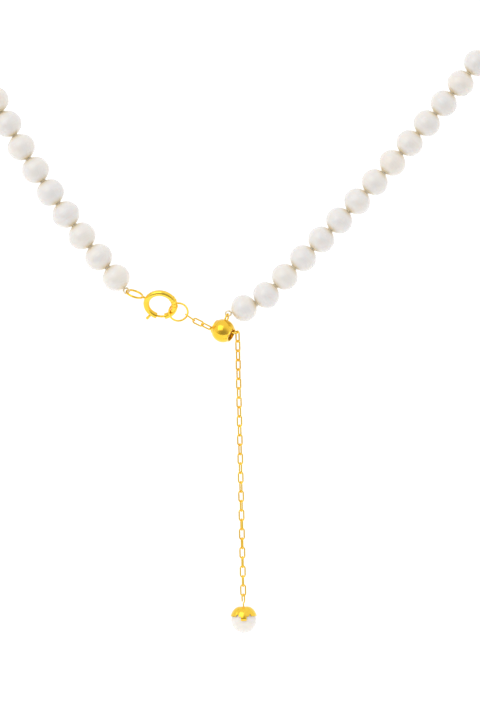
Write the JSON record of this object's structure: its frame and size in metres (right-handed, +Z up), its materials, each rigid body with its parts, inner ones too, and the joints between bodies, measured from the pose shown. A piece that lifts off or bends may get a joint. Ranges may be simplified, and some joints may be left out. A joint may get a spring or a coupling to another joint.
{
  "type": "pearl necklace",
  "caption": "Pearl necklace knotted on silk with a gold spring ring clasp, a sliding ball adjuster and a tail chain ending in a capped pearl drop.",
  "frame": {"origin": "top of the loop on its inside, where the strand rests on a neck form or hook", "axes": "+Z up along the hanging necklace, +Y towards the back of the hanging necklace, +X to the viewer's right seen from the front"},
  "size_m": [0.1214, 0.0062, 0.2022],
  "materials": {
    "pearl": "gloss",
    "silk": "matte",
    "gimp": "satin",
    "gold": "polished",
    "spring_steel": "satin",
    "silicone": "matte"
  },
  "bodies": {
    "neck_strand": {"neck_pearls": "pearl", "neck_silk": "silk"},
    "left_upper": {"upper_left_pearls": "pearl", "upper_left_silk": "silk"},
    "left_lower": {"lower_left_pearls": "pearl", "lower_left_silk": "silk"},
    "left_end": {"left_end_pearls": "pearl", "left_end_silk": "silk", "left_end_loop": "gimp"},
    "right_upper": {"upper_right_pearls": "pearl", "upper_right_silk": "silk"},
    "right_lower": {"lower_right_pearls": "pearl", "lower_right_silk": "silk"},
    "right_end": {"right_end_pearls": "pearl", "right_end_silk": "silk", "right_end_loop": "gimp"},
    "spring_ring": {"spring_ring_tube": "gold", "spring_ring_collars": "gold", "spring_ring_eye": "gold", "gate_spring": "spring_steel"},
    "gate": {"gate_wire": "gold", "gate_trigger": "gold"},
    "jump_ring": {"jump_ring": "gold"},
    "chain_core": {"lead_links": "gold"},
    "slider_ball": {"slider_ball_shell": "gold", "slider_ball_sleeve": "silicone", "slider_ball_bail": "gold"},
    "tail_1": {"tail_links_1": "gold"},
    "tail_2": {"tail_links_2": "gold"},
    "tail_3": {"tail_links_3": "gold"},
    "tail_4": {"tail_links_4": "gold"},
    "tail_5": {"tail_links_5": "gold"},
    "tail_6": {"tail_links_6": "gold"},
    "drop": {"drop_pin": "gold", "drop_cap": "gold", "drop_pearl": "pearl"}
  },
  "joints": [
    {"name": "right_upper_flex", "type": "hinge", "parent": "neck_strand", "child": "right_upper", "pos_m": [0.05168, 0, -0.02899], "axis": [1, 0, 0], "range_deg": [-20, 20], "deforming": ["upper_right_silk", "neck_silk"]},
    {"name": "left_upper_flex", "type": "hinge", "parent": "neck_strand", "child": "left_upper", "pos_m": [-0.0517, 0, -0.02899], "axis": [1, 0, 0], "range_deg": [-20, 20], "deforming": ["upper_left_silk", "neck_silk"]},
    {"name": "right_lower_flex", "type": "hinge", "parent": "right_upper", "child": "right_lower", "pos_m": [0.03997, 0, -0.0994], "axis": [1, 0, 0], "range_deg": [-20, 20], "deforming": ["lower_right_silk", "upper_right_silk"]},
    {"name": "left_lower_flex", "type": "hinge", "parent": "left_upper", "child": "left_lower", "pos_m": [-0.04696, 0, -0.0994], "axis": [1, 0, 0], "range_deg": [-20, 20], "deforming": ["lower_left_silk", "upper_left_silk"]},
    {"name": "right_end_flex", "type": "hinge", "parent": "right_lower", "child": "right_end", "pos_m": [0.02212, 0, -0.11957], "axis": [1, 0, 0], "range_deg": [-20, 20], "deforming": ["right_end_silk", "lower_right_silk"]},
    {"name": "left_end_flex", "type": "hinge", "parent": "left_lower", "child": "left_end", "pos_m": [-0.03614, 0, -0.11957], "axis": [1, 0, 0], "range_deg": [-20, 20], "deforming": ["left_end_silk", "lower_left_silk"]},
    {"name": "clasp_turn", "type": "hinge", "parent": "left_end", "child": "spring_ring", "pos_m": [-0.02224, 0, -0.13879], "axis": [0.9146, 0.1002, -0.3918], "range_deg": [-8, 8]},
    {"name": "gate_pull", "type": "hinge", "parent": "spring_ring", "child": "gate", "pos_m": [-0.01651, 0.00054, -0.14124], "axis": [0.1354, 0.7986, 0.5864], "range_deg": [0, 42], "stiffness_Nm_per_rad": 0.002, "springref_deg": -5.73, "deforming": ["gate_spring"]},
    {"name": "slider_swing", "type": "hinge", "parent": "right_end", "child": "slider_ball", "pos_m": [-0.00501, 0, -0.14308], "axis": [0.9913, -0.0932, -0.0934], "range_deg": [-8, 8]},
    {"name": "chain_slide", "type": "slide", "parent": "slider_ball", "child": "chain_core", "axis": [0.9243, -0.3394, -0.1743], "range_m": [-0.0003, 0]},
    {"name": "jump_ring_spin", "type": "hinge", "parent": "chain_core", "child": "jump_ring", "pos_m": [-0.01348, 0.00075, -0.14254], "axis": [0, -0.9397, 0.342], "continuous": true},
    {"name": "tail_swing", "type": "hinge", "parent": "chain_core", "child": "tail_1", "pos_m": [-0.00344, -0.00115, -0.14634], "axis": [0.4029, 0.8531, 0.3315], "range_deg": [-30, 6]},
    {"name": "tail_bend_1", "type": "hinge", "parent": "tail_1", "child": "tail_2", "pos_m": [-0.00344, -0.00115, -0.14952], "axis": [0.7784, 0.6278, 0], "range_deg": [-35, 35]},
    {"name": "tail_bend_2", "type": "hinge", "parent": "tail_2", "child": "tail_3", "pos_m": [-0.00344, -0.00115, -0.15755], "axis": [0.5495, -0.8355, 0], "range_deg": [-35, 35]},
    {"name": "tail_bend_3", "type": "hinge", "parent": "tail_3", "child": "tail_4", "pos_m": [-0.00344, -0.00115, -0.16557], "axis": [0.8848, 0.466, 0], "range_deg": [-35, 35]},
    {"name": "tail_bend_4", "type": "hinge", "parent": "tail_4", "child": "tail_5", "pos_m": [-0.00344, -0.00115, -0.1736], "axis": [0.3782, -0.9257, 0], "range_deg": [-35, 35]},
    {"name": "tail_bend_5", "type": "hinge", "parent": "tail_5", "child": "tail_6", "pos_m": [-0.00344, -0.00115, -0.18163], "axis": [0.958, 0.2868, 0], "range_deg": [-35, 35]},
    {"name": "drop_swing", "type": "hinge", "parent": "tail_6", "child": "drop", "pos_m": [-0.00344, -0.00115, -0.19126], "axis": [0.9848, 0.1736, 0], "range_deg": [-30, 30]}
  ],
  "couplings": [
    {"joint": "left_upper_flex", "follows": "right_upper_flex", "ratio": 1},
    {"joint": "left_lower_flex", "follows": "right_lower_flex", "ratio": 1},
    {"joint": "left_end_flex", "follows": "right_end_flex", "ratio": 1}
  ]
}
